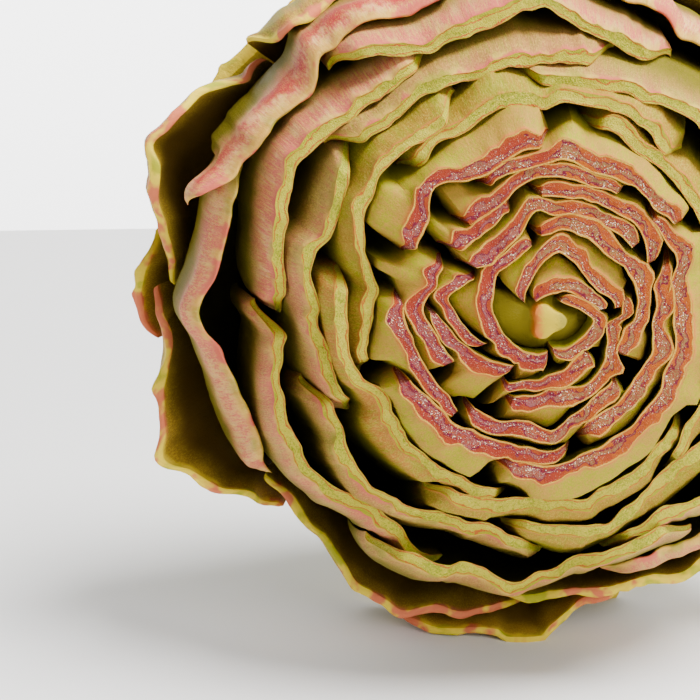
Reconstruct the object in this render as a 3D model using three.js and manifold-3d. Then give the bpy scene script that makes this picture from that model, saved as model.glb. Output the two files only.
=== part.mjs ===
// Globe artichoke with the top of its head cut off, laid on its side.
// Millimetres, +Z up, resting on z = 0 with its middle over the origin.
//
// The head is drawn round its own axis, from the cut end of the stem at
// height 0 to the flat cut at the top. Each point of a bract has an angle
// round that axis (0 is right, counter-clockwise seen from the cut top), a
// height along it, and a layer: the share of the head's outer profile that
// the bract runs at. Bracts are laid from the bud outwards, each one outside
// what it covers, as they grow.
import * as THREE from 'three';
import { mergeVertices } from 'three/addons/utils/BufferGeometryUtils.js';
import Module from 'manifold-3d';

// The head
const headTilt = 6; // degrees that the cut top looks up
const axisRest = 53.5; // height of the axis over the surface, at the stem end
const axisBack = 40.4; // how far the stem end lies behind the origin
const axisAside = -0.2; // how far the axis lies to the right of the origin
const stemRadius = 12.5;
const stemChamfer = 1;
const heartTop = 32; // height of the heart under the bud
const heartFall = 19; // how much lower the heart is at layer 1 than at the bud
const heartRim = 1.22; // layer where the heart meets the stem
const heartSides = 32;
const heartSteps = 12;
const budLayer = 0.062; // layer of the bud's own core
const budTop = 80.4;
const budSides = 7;

// Radius of the whole head at each height
const headProfile = [
  [0, 11], [4, 14.5], [8, 19.5], [13, 28.8], [19, 40], [28, 49.5], [40, 53], [54, 51.5], [60, 50],
  [67, 47.5], [80, 42.5], [88, 39],
];

// How bracts lie on each other
const rootClearance = 0.6; // over the heart
const hugReach = 4; // degrees over which a bract bends across an edge below it
const widestStep = 11; // degrees between two columns of a blade
const bladeTaper = 9; // degrees from a margin to full thickness
const shortestEdge = 1; // height between two rows of a blade
const flareStart = 15; // height where a splayed bract leaves the head
const flareReach = 30; // height above that where the splay is complete
const flareMost = 1.3;
const flareBend = 1.5; // how late the splay sets in
const tipBend = 1.7; // how late a splayed rim falls away from its tip
const rootWidth = 0.8; // width at the root, as a share of the width above
const rootRise = 22; // height over the root where the full width is reached
const marginTuck = 0.02; // layer that a margin drops below the rim beside it
const budSink = 0.09; // layer that the bud's leaflets sink in to their core at the root

// Where the head's own weight presses its lowest bracts flat
const pressTop = 9; // height over the surface up to which bracts give way
const pressShare = 0.88; // what is left of a height below that
const pressThick = 0.9; // least height of a blade's inner face over the surface

const sameCorner = 0.001; // distance below which two corners are one
const heartColour = 0xb9bb86;
const budColour = 0xc0a566;

// Kinds of bract: full and margin thickness and the gap to what it covers, all
// in layers, degrees of hidden margin beside the visible rim, and how far the
// rim falls at the margin. A splayed kind has a tip of its own.
const kinds = {
  leaflet: { colour: 0xa8765a, thick: 0.032, edge: 0.021, gap: 0.015, skirt: 4, drop: 5, height: 80 },
  inner: { colour: 0xa56f62, thick: 0.038, edge: 0.021, gap: 0.015, skirt: 5, drop: 7, height: 80 },
  green: { colour: 0xa3a155, thick: 0.034, edge: 0.021, gap: 0.013, skirt: 6, drop: 8, height: 76 },
  middle: { colour: 0xa89560, thick: 0.032, edge: 0.02, gap: 0.014, skirt: 7, drop: 9, height: 66 },
  outer: { colour: 0x7d7339, thick: 0.034, edge: 0.022, gap: 0.018, skirt: 6, drop: 10, height: 46, splayed: true },
  basal: { colour: 0x83813f, thick: 0.07, edge: 0.042, gap: 0.036, skirt: 7, drop: 8, height: 27, splayed: true },
};

// The bud's two folded leaflets, and every bract from the bud outwards. A rim
// is given as [angle, radius] or [angle, radius, height], tip is the angle of
// its point.
const budLeaflets = [
  { kind: 'leaflet', rim: [[-80, 4.5], [-40, 6], [0, 7.5], [30, 4.6], [60, 3.2]] },
  { kind: 'leaflet', rim: [[12, 7.6], [45, 5.9], [90, 4.8], [120, 4]] },
];
const bracts = [
  { name: 'inner_01', kind: 'leaflet', rim: [[10, 8.4], [20, 8.6], [50, 9.5], [80, 11.1], [115, 7], [140, 4.6]] },
  { name: 'inner_02', kind: 'leaflet',
    rim: [[103, 12.2], [125, 11.2], [153, 9.6], [171, 9], [197, 7.7], [233, 6.2], [270, 5.4]] },
  { name: 'inner_03', kind: 'leaflet', rim: [[150, 13.2], [166, 16.3], [178, 13.8], [199, 10.2]] },
  { name: 'inner_04', kind: 'leaflet', rim: [[176, 15.4], [199, 12.3], [232, 8.9]] },
  { name: 'inner_05', kind: 'leaflet', rim: [[237, 11.8], [270, 8.6], [320, 7.6]] },
  { name: 'inner_06', kind: 'leaflet',
    rim: [[246, 12.8], [256, 11.9], [270, 11], [299, 12], [311, 11.8], [331, 10.4], [356, 9.6], [375, 9.2]] },
  { name: 'inner_07', kind: 'inner',
    rim: [[336, 12.3], [360, 12.4], [379, 13.4], [395, 15.1], [410, 14.2], [426, 14.4], [440, 14.4], [455, 14.2]] },
  { name: 'inner_08', kind: 'inner',
    rim: [[41, 17], [60, 18], [71, 17.8], [86, 16.9], [95, 17.5], [105, 15.4], [128, 13], [142, 12.4]] },
  { name: 'inner_09', kind: 'inner', rim: [[30, 18.2], [41, 19.1], [49, 20.5], [73, 20], [82, 19.3], [93, 19.2]] },
  { name: 'inner_10', kind: 'inner', rim: [[153, 19], [173, 17.9], [188, 17], [202, 16.1]] },
  { name: 'inner_11', kind: 'inner',
    rim: [[230, 17.6], [245, 17.5], [260, 16.6], [272, 18], [285, 15.5], [300, 14.4], [316, 14]] },
  { name: 'inner_12', kind: 'inner', rim: [[290, 17], [318, 17.3], [330, 17.4], [341, 17.1], [360, 16.2], [384, 16.2]] },
  { name: 'inner_13', kind: 'inner', rim: [[110, 17.9], [125, 17.4], [140, 18.1]] },
  { name: 'inner_14', kind: 'inner', rim: [[173, 22.7], [182, 21.6], [194, 20.9], [210, 20], [224, 19.5]] },
  { name: 'inner_15', kind: 'inner', rim: [[62, 21.6], [79, 21.8], [90, 22.4], [101, 21.8], [115, 20], [128, 19.9]] },
  { name: 'inner_16', kind: 'inner', rim: [[203, 22.4], [217, 21.7], [246, 20.1], [260, 19.7], [277, 19.6]] },
  { name: 'inner_17', kind: 'inner',
    rim: [[256, 22.7], [268, 22.8], [279, 21.6], [303, 21.6], [319, 21], [349, 20.7], [363, 20.3], [377, 19.9],
      [392, 20.7], [403, 21.3]] },
  { name: 'inner_18', kind: 'inner', rim: [[38, 22.8], [55, 23.5], [68, 23.9], [84, 25], [96, 24.2], [112, 22.2]] },
  { name: 'inner_19', kind: 'inner', rim: [[93, 26.3], [113, 24.9], [130, 27], [140, 24.5], [150, 23.2]] },

  { name: 'green_01', kind: 'green', rim: [[-15, 27.6], [0, 27.2], [20, 27.6], [40, 28.4], [51, 29], [73, 30.1]] },
  { name: 'green_02', kind: 'green',
    rim: [[54, 30.9], [60, 32.2], [68, 33.4], [78, 33.4], [90, 32.6], [99, 34.1], [110, 32], [119, 31.9], [128, 29.5]] },
  { name: 'green_03', kind: 'green',
    rim: [[117, 33.5], [130, 34], [138, 33.7], [150, 32], [159, 29.3], [171, 26.4], [180, 26.6], [192, 28.6]] },
  { name: 'green_04', kind: 'green',
    rim: [[172, 30.8], [180, 30.3], [190, 30], [205, 27.4], [214, 28.5], [228, 28.5], [240, 28], [254, 27.7]] },
  { name: 'green_05', kind: 'green',
    rim: [[242, 30.4], [268, 29], [282, 29.3], [295, 28.1], [307, 27.7], [318, 26.4]] },
  { name: 'green_06', kind: 'green', rim: [[314, 28.4], [332, 28.3], [350, 29.4], [365, 30], [378, 30.4]] },
  { name: 'green_07', kind: 'green', height: 74,
    rim: [[266, 32.8], [276, 34], [286, 34.7], [295, 33.3], [306, 32.1], [319, 31.8], [335, 32.4], [350, 33],
      [364, 33.5]] },

  { name: 'middle_01', kind: 'middle', height: 74,
    rim: [[12, 36.6], [25, 37.6], [38, 38], [51, 37.7], [61, 36.9], [73, 36.4], [81, 35.6], [90, 34.8]] },
  { name: 'middle_02', kind: 'middle', height: 72,
    rim: [[144, 34.4], [150, 35], [159, 35.5], [165, 36.9], [171, 36.4], [180, 34.5], [188, 32.4], [202, 30.5]] },
  { name: 'middle_03', kind: 'middle', height: 71,
    rim: [[80, 38.6], [96, 38.2], [107, 38.2], [120, 38.4], [128, 37.6], [135, 36.8]] },
  { name: 'middle_04', kind: 'middle', height: 71,
    rim: [[203, 35.2], [209, 35.4], [215, 36.8], [223, 38], [231, 37.5], [240, 36.3], [251, 34.8], [260, 32.5],
      [265, 31.8]] },
  { name: 'middle_05', kind: 'middle', height: 72,
    rim: [[292, 36.1], [300, 36.5], [309, 39.2], [322, 40], [338, 40.4], [352, 40]] },
  { name: 'middle_06', kind: 'middle', height: 67,
    rim: [[118, 41], [127, 41.3], [135, 42.7], [144, 43.7], [150, 44], [157, 43], [164, 41.3], [175, 39.2]] },
  { name: 'middle_07', kind: 'middle', height: 68, rim: [[-12, 43], [4, 43.6], [20, 43.4], [38, 42]] },
  { name: 'middle_08', kind: 'middle', height: 66,
    rim: [[67, 40.4], [78, 43.4], [90, 47.1], [101, 44.5], [112, 43.4], [124, 47.4]] },
  { name: 'middle_09', kind: 'middle', height: 66,
    rim: [[186, 38.8], [190, 40.6], [198, 42.4], [206, 43.7], [213, 43.6], [221, 42.7], [228, 40.6], [236, 40],
      [245, 43.5, 62]] },
  { name: 'middle_10', kind: 'middle', height: 68,
    rim: [[241, 41, 69], [247, 41.6], [255, 42.9, 67], [264, 43.9, 66], [272, 42.3, 67], [278, 40.4, 69],
      [285, 39, 72], [298, 39.4, 73]] },
  { name: 'middle_11', kind: 'middle', height: 59,
    rim: [[160, 49.8], [168, 49.6], [175, 50.2], [182, 52.3], [188, 50.4], [195, 49.3], [208, 49.5]] },
  { name: 'middle_12', kind: 'middle', height: 60, skirt: 3, drop: 5,
    rim: [[107, 50], [114, 49.4], [124, 49.2], [130, 50.4], [136, 48.9], [145, 49.6], [156, 51.6], [161, 54.1]] },
  { name: 'middle_13', kind: 'middle', height: 61, rim: [[-30, 46], [-12, 47.5], [5, 48.5], [22, 47.5], [36, 46]] },
  { name: 'middle_14', kind: 'middle', height: 58,
    rim: [[22, 47.5], [35, 49.4], [45, 49], [55, 48.2], [61, 48], [66, 49.8], [74, 49.4], [82, 50.5]] },
  { name: 'middle_15', kind: 'middle', height: 60, rim: [[292, 45], [303, 46.5], [315, 48], [330, 48.5], [345, 47.5]] },

  { name: 'outer_01', kind: 'outer', height: 51, tip: 299,
    rim: [[270, 51.6], [279, 51.4], [288, 51.7], [294, 51.9], [299, 53.4], [304, 53], [316, 51]] },
  { name: 'outer_03', kind: 'outer', tip: 250, drop: 8,
    rim: [[223, 51.7], [231, 52.3], [237, 54.3], [242, 55.6], [246, 56.3], [250, 57.8], [254, 56.2], [260, 55],
      [266, 53]] },
  { name: 'outer_04', kind: 'outer', tip: 270, drop: 8,
    rim: [[254, 56], [260, 57.7], [266, 57.9], [269, 60.2], [272, 60.2], [275, 57.4], [283, 54]] },
  { name: 'outer_05', kind: 'outer', tip: 158, skirt: 4,
    rim: [[142, 54.5], [145, 58], [149, 60.7], [154, 62.1], [158, 64.6], [161, 62.4], [165, 61.4], [170, 58.6],
      [176, 55.2]] },
  { name: 'outer_02', kind: 'outer', height: 51, tip: 131, skirt: 3,
    rim: [[112, 52.5], [120, 53.8], [124, 54.7], [128, 56.2], [131, 57.2], [135, 55]] },
  { name: 'outer_06', kind: 'outer', tip: 205,
    rim: [[186, 55.7], [190, 58.4], [196, 61.5], [201, 62.1], [205, 63.8], [209, 61.2], [213, 59.9], [218, 55]] },
  { name: 'outer_07', kind: 'outer', height: 36, tip: 181, drop: 4, skirt: 4,
    rim: [[175, 54.5], [178, 56.6], [181, 57.6], [185, 55.3]] },
  { name: 'outer_08', kind: 'outer', tip: 324, rim: [[302, 54], [313, 57], [324, 60], [334, 57], [342, 54]] },
  { name: 'outer_09', kind: 'outer', tip: 2, rim: [[-20, 55], [-9, 59], [2, 62], [12, 59], [20, 55]] },
  { name: 'outer_10', kind: 'outer', tip: 42, rim: [[22, 55], [33, 58], [42, 61], [52, 58], [60, 55]] },
  { name: 'outer_11', kind: 'outer', tip: 84, rim: [[62, 54], [74, 57], [84, 60], [93, 57], [102, 54]] },

  { name: 'basal_01', kind: 'basal', tip: 278, height: 29, skirt: 4, rim: [[273, 60], [278, 62.5], [290, 55.5]] },
  { name: 'basal_02', kind: 'basal', tip: 358, rim: [[336, 54], [358, 56], [380, 54]] },
  { name: 'basal_03', kind: 'basal', tip: 72, rim: [[50, 54], [72, 56], [94, 54]] },
  { name: 'basal_04', kind: 'basal', tip: 146, rim: [[124, 54], [146, 56], [168, 54]] },
  { name: 'basal_05', kind: 'basal', tip: 259, height: 29, skirt: 4, rim: [[244, 56], [259, 62.8], [266, 60]] },
];

const degrees = Math.PI / 180;
const fullTurn = 360;
const { clamp } = THREE.MathUtils;

// Straight lines through points
function linesThrough(points) {
  const last = points.length - 1;
  return (x) => {
    if (x <= points[0][0]) return points[0][1];
    if (x >= points[last][0]) return points[last][1];
    const i = points.findIndex((point) => point[0] > x) - 1;
    const t = (x - points[i][0]) / (points[i + 1][0] - points[i][0]);
    return points[i][1] * (1 - t) + points[i + 1][1] * t;
  };
}

const headRadius = linesThrough(headProfile);
const flareShare = (height) => clamp((height - flareStart) / flareReach, 0, flareMost) ** flareBend;
const heartHeight = (layer) => heartTop - heartFall * layer * layer;

function pointAt(angle, radius, height) {
  return new THREE.Vector3(radius * Math.cos(angle * degrees), radius * Math.sin(angle * degrees), height);
}

// How the head lies
const head = new THREE.Group();
head.rotation.x = (90 - headTilt) * degrees;
head.position.set(axisAside, axisBack, axisRest);
head.updateMatrix();
const upright = head.matrix.clone().invert();

// Moves a point of the head that would lie too low up to its least height over the surface
function pressed(point, least) {
  const lying = point.applyMatrix4(head.matrix);
  if (lying.z < pressTop) lying.z = Math.max(least, pressTop - (pressTop - lying.z) * pressShare);
  return lying.applyMatrix4(upright);
}

// Layer and flare of what already lies at each degree round the head
const laid = { layer: new Array(fullTurn).fill(budLayer), flare: new Array(fullTurn).fill(0) };

function around(values, angle) {
  const place = ((angle % fullTurn) + fullTurn) % fullTurn;
  const low = Math.floor(place);
  return values[low] * (1 - place + low) + values[(low + 1) % fullTurn] * (place - low);
}

// The same values raised beside each step, so that a blade bends over it smoothly
function eased(values) {
  const near = Array.from({ length: 2 * hugReach + 1 }, (_, i) => i - hugReach + fullTurn);
  const high = values.map((_, i) => Math.max(...near.map((step) => values[(i + step) % fullTurn])));
  return high.map((_, i) => near.reduce((sum, step) => sum + high[(i + step) % fullTurn], 0) / near.length);
}

// Angles of a blade's columns, from margin to margin through the points of its rim
function columnAngles(rim, skirt) {
  const angles = [rim[0][0] - skirt];
  for (const [angle] of rim) {
    const start = angles.at(-1);
    const steps = Math.ceil((angle - start) / widestStep);
    for (let i = 1; i <= steps; i += 1) angles.push(start + ((angle - start) * i) / steps);
  }
  angles.push(rim.at(-1)[0] + skirt);
  return angles;
}

// Columns of one blade: where its inner face runs, how thick it is and how high it reaches
function columnsOf(bract) {
  const kind = { ...kinds[bract.kind], ...bract };
  const angles = columnAngles(kind.rim, kind.skirt);
  const [start, end] = [angles[0], angles.at(-1)];
  const radiusAt = linesThrough(kind.rim);
  const heightAt = linesThrough(kind.rim.map(([angle, , height = kind.height]) => [angle, height]));
  const below = eased(laid.layer);
  const flareBelow = eased(laid.flare);
  const columns = angles.map((angle) => {
    const margin = angle === start || angle === end;
    const inside = clamp(Math.min(angle - start, end - angle) / bladeTaper, 0, 1);
    const thick = kind.edge + (kind.thick - kind.edge) * inside;
    const least = around(below, angle) + kind.gap;
    const layerAt = (height) => radiusAt(angle) / headRadius(height) - thick / 2;
    if (kind.splayed) {
      const away = (angle - kind.tip) / (angle < kind.tip ? start - kind.tip : end - kind.tip);
      const height = heightAt(angle) - kind.drop * away ** tipBend;
      const splay = margin ? 0 : (layerAt(height) - least) / flareShare(height);
      return { angle, thick, layer: least, flare: Math.max(splay, around(flareBelow, angle)), height };
    }
    const wanted = layerAt(heightAt(angle));
    const layer = Math.max(least, margin ? wanted - marginTuck : wanted);
    const height = heightAt(angle) - (margin ? kind.drop : 0);
    return { angle, thick, layer, flare: around(flareBelow, angle), height };
  });
  liftClear(columns, kind.gap);
  return columns;
}

// Raises the columns beside each place where a blade would cut through what lies below it
function liftClear(columns, gap) {
  for (let i = 0; i < columns.length - 1; i += 1) {
    const [left, right] = [columns[i], columns[i + 1]];
    for (let angle = Math.ceil(left.angle); angle < right.angle; angle += 1) {
      const t = (angle - left.angle) / (right.angle - left.angle);
      const lackLayer = around(laid.layer, angle) + gap - left.layer * (1 - t) - right.layer * t;
      const lackFlare = around(laid.flare, angle) - left.flare * (1 - t) - right.flare * t;
      for (const column of [left, right]) {
        column.layer += Math.max(0, lackLayer);
        column.flare += Math.max(0, lackFlare);
      }
    }
  }
}

const along = (columns, name) => linesThrough(columns.map((column) => [column.angle, column[name]]));

// Marks a blade as laid, so that the next ones go outside it
function layDown(columns) {
  const [layerAt, thickAt, flareAt] = [along(columns, 'layer'), along(columns, 'thick'), along(columns, 'flare')];
  for (let angle = Math.floor(columns[0].angle); angle <= Math.ceil(columns.at(-1).angle); angle += 1) {
    const place = (angle + fullTurn) % fullTurn;
    laid.layer[place] = Math.max(laid.layer[place], layerAt(angle) + thickAt(angle));
    laid.flare[place] = Math.max(laid.flare[place], flareAt(angle));
  }
}

// A closed blade from its root on the heart to its rim. sink draws its root
// in towards the axis, for the leaflets that are grown together in the bud.
function bladeGeometry(columns, sink = 0) {
  const middle = (columns[0].angle + columns.at(-1).angle) / 2;
  const [layerAt, flareAt] = [along(columns, 'layer'), along(columns, 'flare')];
  const roots = columns.map(({ angle }) => {
    const rootAngle = middle + (angle - middle) * rootWidth;
    return heartHeight(layerAt(rootAngle) - sink) + rootClearance;
  });
  const lowest = Math.min(...roots);
  const highest = Math.max(...columns.map((column) => column.height));
  const between = headProfile.map(([height]) => height).filter((height) => height > lowest && height < highest);
  const rows = [lowest, ...between, highest];
  const cornerAt = (column, root, row, outward) => {
    let height = clamp(row, root, column.height);
    if (height - root < shortestEdge) height = root;
    else if (column.height - height < shortestEdge) height = column.height;
    const rise = clamp((height - root) / rootRise, 0, 1);
    const angle = middle + (column.angle - middle) * (1 - (1 - rootWidth) * (1 - rise) ** 2);
    const sunk = (sink * (column.height - height)) / (column.height - root);
    const layer = layerAt(angle) + flareAt(angle) * flareShare(height) + outward * column.thick - sunk;
    return pressed(pointAt(angle, layer * headRadius(height), height), outward ? 0 : pressThick).toArray();
  };
  const face = (outward) => rows.map((row) => columns.map((column, i) => cornerAt(column, roots[i], row, outward)));
  return skinBetween(face(0), face(1));
}

// Closes two like grids of corners, the inner and the outer face of a blade, into one body
function skinBetween(inner, outer) {
  const corners = [];
  const quad = (a, b, c, d) => corners.push(a, b, c, a, c, d);
  const [lastRow, lastColumn] = [inner.length - 1, inner[0].length - 1];
  for (let row = 0; row < lastRow; row += 1) {
    const next = row + 1;
    for (let i = 0; i < lastColumn; i += 1) {
      quad(outer[row][i], outer[row][i + 1], outer[next][i + 1], outer[next][i]);
      quad(inner[row][i], inner[next][i], inner[next][i + 1], inner[row][i + 1]);
    }
    quad(inner[row][0], outer[row][0], outer[next][0], inner[next][0]);
    quad(outer[row][lastColumn], inner[row][lastColumn], inner[next][lastColumn], outer[next][lastColumn]);
  }
  for (let i = 0; i < lastColumn; i += 1) {
    quad(inner[0][i], inner[0][i + 1], outer[0][i + 1], outer[0][i]);
    quad(outer[lastRow][i], outer[lastRow][i + 1], inner[lastRow][i + 1], inner[lastRow][i]);
  }
  return closedGeometry(new THREE.Float32BufferAttribute(corners.flat(), 3));
}

// Merges shared corners and leaves out faces that have shrunk to a line
function closedGeometry(position) {
  const merged = mergeVertices(new THREE.BufferGeometry().setAttribute('position', position), sameCorner);
  const corners = Array.from(merged.index.array);
  const kept = [];
  for (let i = 0; i < corners.length; i += 3) {
    const face = corners.slice(i, i + 3);
    if (new Set(face).size === 3) kept.push(...face);
  }
  return merged.setIndex(kept);
}

// A body of revolution about the head's axis, from [radius, height] points
function turnedGeometry(profile, sides) {
  const turned = new THREE.LatheGeometry(profile.map(([radius, height]) => new THREE.Vector2(radius, height)), sides);
  return closedGeometry(turned.rotateX(Math.PI / 2).toNonIndexed().getAttribute('position'));
}

// The fleshy heart with the cut stub of the stem
function heartGeometry() {
  const profile = [[0, 0], [stemRadius - stemChamfer, 0], [stemRadius, stemChamfer]];
  for (let i = 0; i <= heartSteps; i += 1) {
    const layer = heartRim * (1 - i / heartSteps);
    profile.push([layer * headRadius(heartHeight(layer)), heartHeight(layer)]);
  }
  return turnedGeometry(profile, heartSides);
}

const wasm = await Module();
wasm.setup();

function solidOf(geometry) {
  const mesh = new wasm.Mesh({
    numProp: 3,
    vertProperties: geometry.getAttribute('position').array,
    triVerts: new Uint32Array(geometry.index.array),
  });
  return new wasm.Manifold(mesh);
}

// The bud: a slim core with its leaflets grown on to it
function budGeometry() {
  const foot = heartHeight(budLayer) + rootClearance;
  const heights = [foot, ...headProfile.map(([height]) => height).filter((height) => height > foot && height < budTop)];
  const sides = heights.map((height) => [budLayer * headRadius(height), height]);
  let bud = solidOf(turnedGeometry([[0, foot], ...sides, [budLayer * headRadius(budTop) / 2, budTop], [0, budTop]],
    budSides));
  for (const leaflet of budLeaflets) {
    const columns = columnsOf(leaflet);
    layDown(columns);
    bud = bud.add(solidOf(bladeGeometry(columns, budSink)));
  }
  const { vertProperties, triVerts } = bud.getMesh();
  return new THREE.BufferGeometry()
    .setAttribute('position', new THREE.BufferAttribute(vertProperties, 3))
    .setIndex(Array.from(triVerts));
}

function addPiece(name, geometry, color) {
  geometry.computeVertexNormals();
  const piece = new THREE.Mesh(geometry, new THREE.MeshStandardMaterial({ color, roughness: 0.6, metalness: 0 }));
  piece.name = name;
  head.add(piece);
}

addPiece('heart', heartGeometry(), heartColour);
addPiece('bud', budGeometry(), budColour);
for (const bract of bracts) {
  const columns = columnsOf(bract);
  layDown(columns);
  addPiece(bract.name, bladeGeometry(columns), kinds[bract.kind].colour);
}

export default head;
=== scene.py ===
import math
import bpy
import numpy as np
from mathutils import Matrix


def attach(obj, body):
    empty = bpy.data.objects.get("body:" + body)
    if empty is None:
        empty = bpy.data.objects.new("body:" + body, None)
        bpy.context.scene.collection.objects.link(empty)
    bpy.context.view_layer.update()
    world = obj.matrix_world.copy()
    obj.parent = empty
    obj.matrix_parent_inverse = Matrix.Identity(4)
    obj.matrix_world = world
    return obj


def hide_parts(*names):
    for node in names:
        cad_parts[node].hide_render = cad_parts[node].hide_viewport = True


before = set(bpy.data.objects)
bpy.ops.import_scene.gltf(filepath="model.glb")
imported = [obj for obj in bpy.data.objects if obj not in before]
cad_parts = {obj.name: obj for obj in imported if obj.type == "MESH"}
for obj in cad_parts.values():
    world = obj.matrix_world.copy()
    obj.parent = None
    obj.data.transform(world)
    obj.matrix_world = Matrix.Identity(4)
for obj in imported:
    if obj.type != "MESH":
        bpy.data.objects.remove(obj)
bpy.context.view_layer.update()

mm = 0.001
fullTurn = 360

# How the head lies and how it is laid out, in millimetres and degrees, as in the part
head = {
    "tilt": 6, "axisRest": 53.5, "axisBack": 40.4, "axisAside": -0.2,
    "cutHeight": 80, "stemRadius": 12.5, "stemChamfer": 1,
    "heartTop": 32, "heartFall": 19, "heartRim": 1.22,
    "budLayer": 0.062, "budTop": 80.4, "budSink": 0.09,
    "rootClearance": 0.6, "hugReach": 4, "widestStep": 11, "bladeTaper": 9, "marginTuck": 0.02,
    "flareStart": 15, "flareReach": 30, "flareMost": 1.3, "flareCurve": 1.5, "tipFall": 1.7,
    "rootWidth": 0.8, "rootRise": 22,
    "pressTop": 9, "pressShare": 0.88, "pressThick": 0.9,
}
headProfile = [(0, 11), (4, 14.5), (8, 19.5), (13, 28.8), (19, 40), (28, 49.5), (40, 53), (54, 51.5),
               (60, 50), (67, 47.5), (80, 42.5), (88, 39)]  # height, radius

# Kinds of bract. In layers: the part's thickness at the middle and the edge, the gap below it, and the most
# thickness of the rim and of the flesh under it. In degrees and millimetres: side margin, drop, rim height
kinds = {
    "leaflet": {"thick": 0.032, "edge": 0.021, "gap": 0.015, "skirt": 4, "drop": 5, "height": 80,
                "fat": 0.066, "fleshy": 0.2, "blush": 0.3},
    "inner": {"thick": 0.038, "edge": 0.021, "gap": 0.015, "skirt": 5, "drop": 7, "height": 80,
              "fat": 0.074, "fleshy": 0.2, "blush": 0.3},
    "green": {"thick": 0.034, "edge": 0.021, "gap": 0.013, "skirt": 6, "drop": 8, "height": 76,
              "fat": 0.046, "fleshy": 0.075},
    "middle": {"thick": 0.032, "edge": 0.02, "gap": 0.014, "skirt": 7, "drop": 9, "height": 66,
               "fat": 0.042, "fleshy": 0.045, "rimShare": 0.15},
    "outer": {"thick": 0.034, "edge": 0.022, "gap": 0.018, "skirt": 6, "drop": 10, "height": 46,
              "fat": 0.036, "fleshy": 0.036, "rimShare": 0.6, "splayed": True},
    "basal": {"thick": 0.07, "edge": 0.042, "gap": 0.036, "skirt": 7, "drop": 8, "height": 27,
              "fat": 0.07, "fleshy": 0.07, "rimShare": 0.5, "splayed": True, "blush": 0.12},
}

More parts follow.
